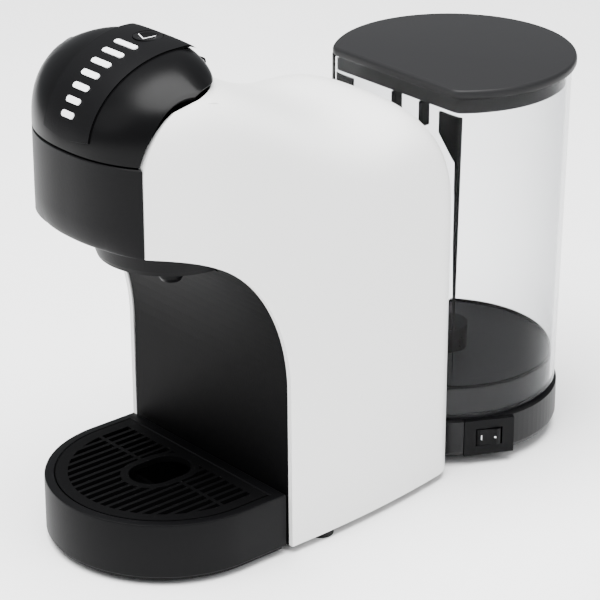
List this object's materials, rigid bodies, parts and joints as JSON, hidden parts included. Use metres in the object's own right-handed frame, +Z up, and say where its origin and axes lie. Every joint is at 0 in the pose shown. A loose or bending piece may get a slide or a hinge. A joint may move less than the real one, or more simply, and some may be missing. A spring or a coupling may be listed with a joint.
{
  "type": "pod coffee machine",
  "caption": "Compact pod coffee machine: white saddle-topped body, black rounded brewing head with a hinged lid, round drip tray and clear rear water tank.",
  "frame": {"origin": "under the middle of the machine, on the table", "axes": "+X to the machine's right-hand side as seen facing its front, -Y the drip tray and brewing head, +Z up"},
  "size_m": [0.125, 0.314, 0.2569],
  "materials": {
    "white_shell": "satin white",
    "black_satin": "satin black",
    "black_gloss": "gloss black",
    "black_matte": "fine-grained black",
    "clear_tank": "clear",
    "dark_rubber": "matt rubber",
    "red_seal": "matt silicone",
    "light_bar": "translucent white",
    "grey_plastic": "grey",
    "steel": "brushed",
    "aluminium": "cast",
    "pump_body": "varnished",
    "board_green": "solder mask",
    "silicone_hose": "translucent silicone"
  },
  "bodies": {
    "machine": {"body_shell": "white_shell", "front_panel": "black_matte", "head_fascia": "black_satin", "head_deck": "black_matte", "brew_chamber": "grey_plastic", "outlet_collar": "black_satin", "spout": "black_satin", "chassis": "grey_plastic", "base_plate": "black_matte", "base_screws": "steel", "feet": "dark_rubber", "rear_base": "black_matte", "dock_valve": "black_matte", "dock_seal": "dark_rubber", "switch_panel": "black_satin", "cord_gland": "black_matte", "water_coupling": "grey_plastic", "hinge_bracket": "black_matte", "lid_pin": "steel", "capsule_adapter": "grey_plastic", "pump": "pump_body", "pump_mounts": "dark_rubber", "flow_meter": "grey_plastic", "thermoblock": "aluminium", "thermostat": "steel", "water_hoses": "silicone_hose", "main_board": "board_green"},
    "lid": {"lid_shell": "black_gloss", "control_strip": "black_satin", "led_bars": "light_bar", "control_board": "board_green", "injector": "grey_plastic", "injector_seal": "red_seal"},
    "start_button": {"start_button": "black_gloss"},
    "drip_tray": {"drip_tray": "black_matte"},
    "drip_grille": {"drip_grille": "black_matte"},
    "tank": {"tank": "clear_tank", "tank_bottom": "black_matte", "tank_frame": "black_matte", "tank_ribs": "black_matte", "tank_strainer": "black_matte"},
    "tank_lid": {"tank_lid": "black_satin"},
    "tank_valve": {"tank_valve": "black_matte", "valve_spring": "steel"},
    "rocker": {"rocker": "black_gloss"}
  },
  "joints": [
    {"name": "lid_hinge", "type": "hinge", "parent": "machine", "child": "lid", "pos_m": [0, -0.0807, 0.2426], "axis": [-1, 0, 0], "range_deg": [0, 75]},
    {"name": "start_press", "type": "slide", "parent": "lid", "child": "start_button", "axis": [0, 0, -1], "range_m": [0, 0.0015], "stiffness_N_per_m": 600},
    {"name": "tray_slide", "type": "slide", "parent": "machine", "child": "drip_tray", "axis": [0, -1, 0], "range_m": [0, 0.08]},
    {"name": "grille_lift", "type": "slide", "parent": "drip_tray", "child": "drip_grille", "axis": [0, 0, 1], "range_m": [0, 0.025]},
    {"name": "tank_lift", "type": "slide", "parent": "machine", "child": "tank", "axis": [0, 0, 1], "range_m": [0, 0.06]},
    {"name": "tank_lid_lift", "type": "slide", "parent": "tank", "child": "tank_lid", "axis": [0, 0, 1], "range_m": [0, 0.03]},
    {"name": "valve_lift", "type": "slide", "parent": "tank", "child": "tank_valve", "axis": [0, 0, 1], "range_m": [0, 0.003], "stiffness_N_per_m": 400, "deforming": ["valve_spring"]},
    {"name": "rocker_tilt", "type": "hinge", "parent": "machine", "child": "rocker", "pos_m": [0.05284, 0.07302, 0.0158], "axis": [0, 0, 1], "range_deg": [0, 16]}
  ]
}
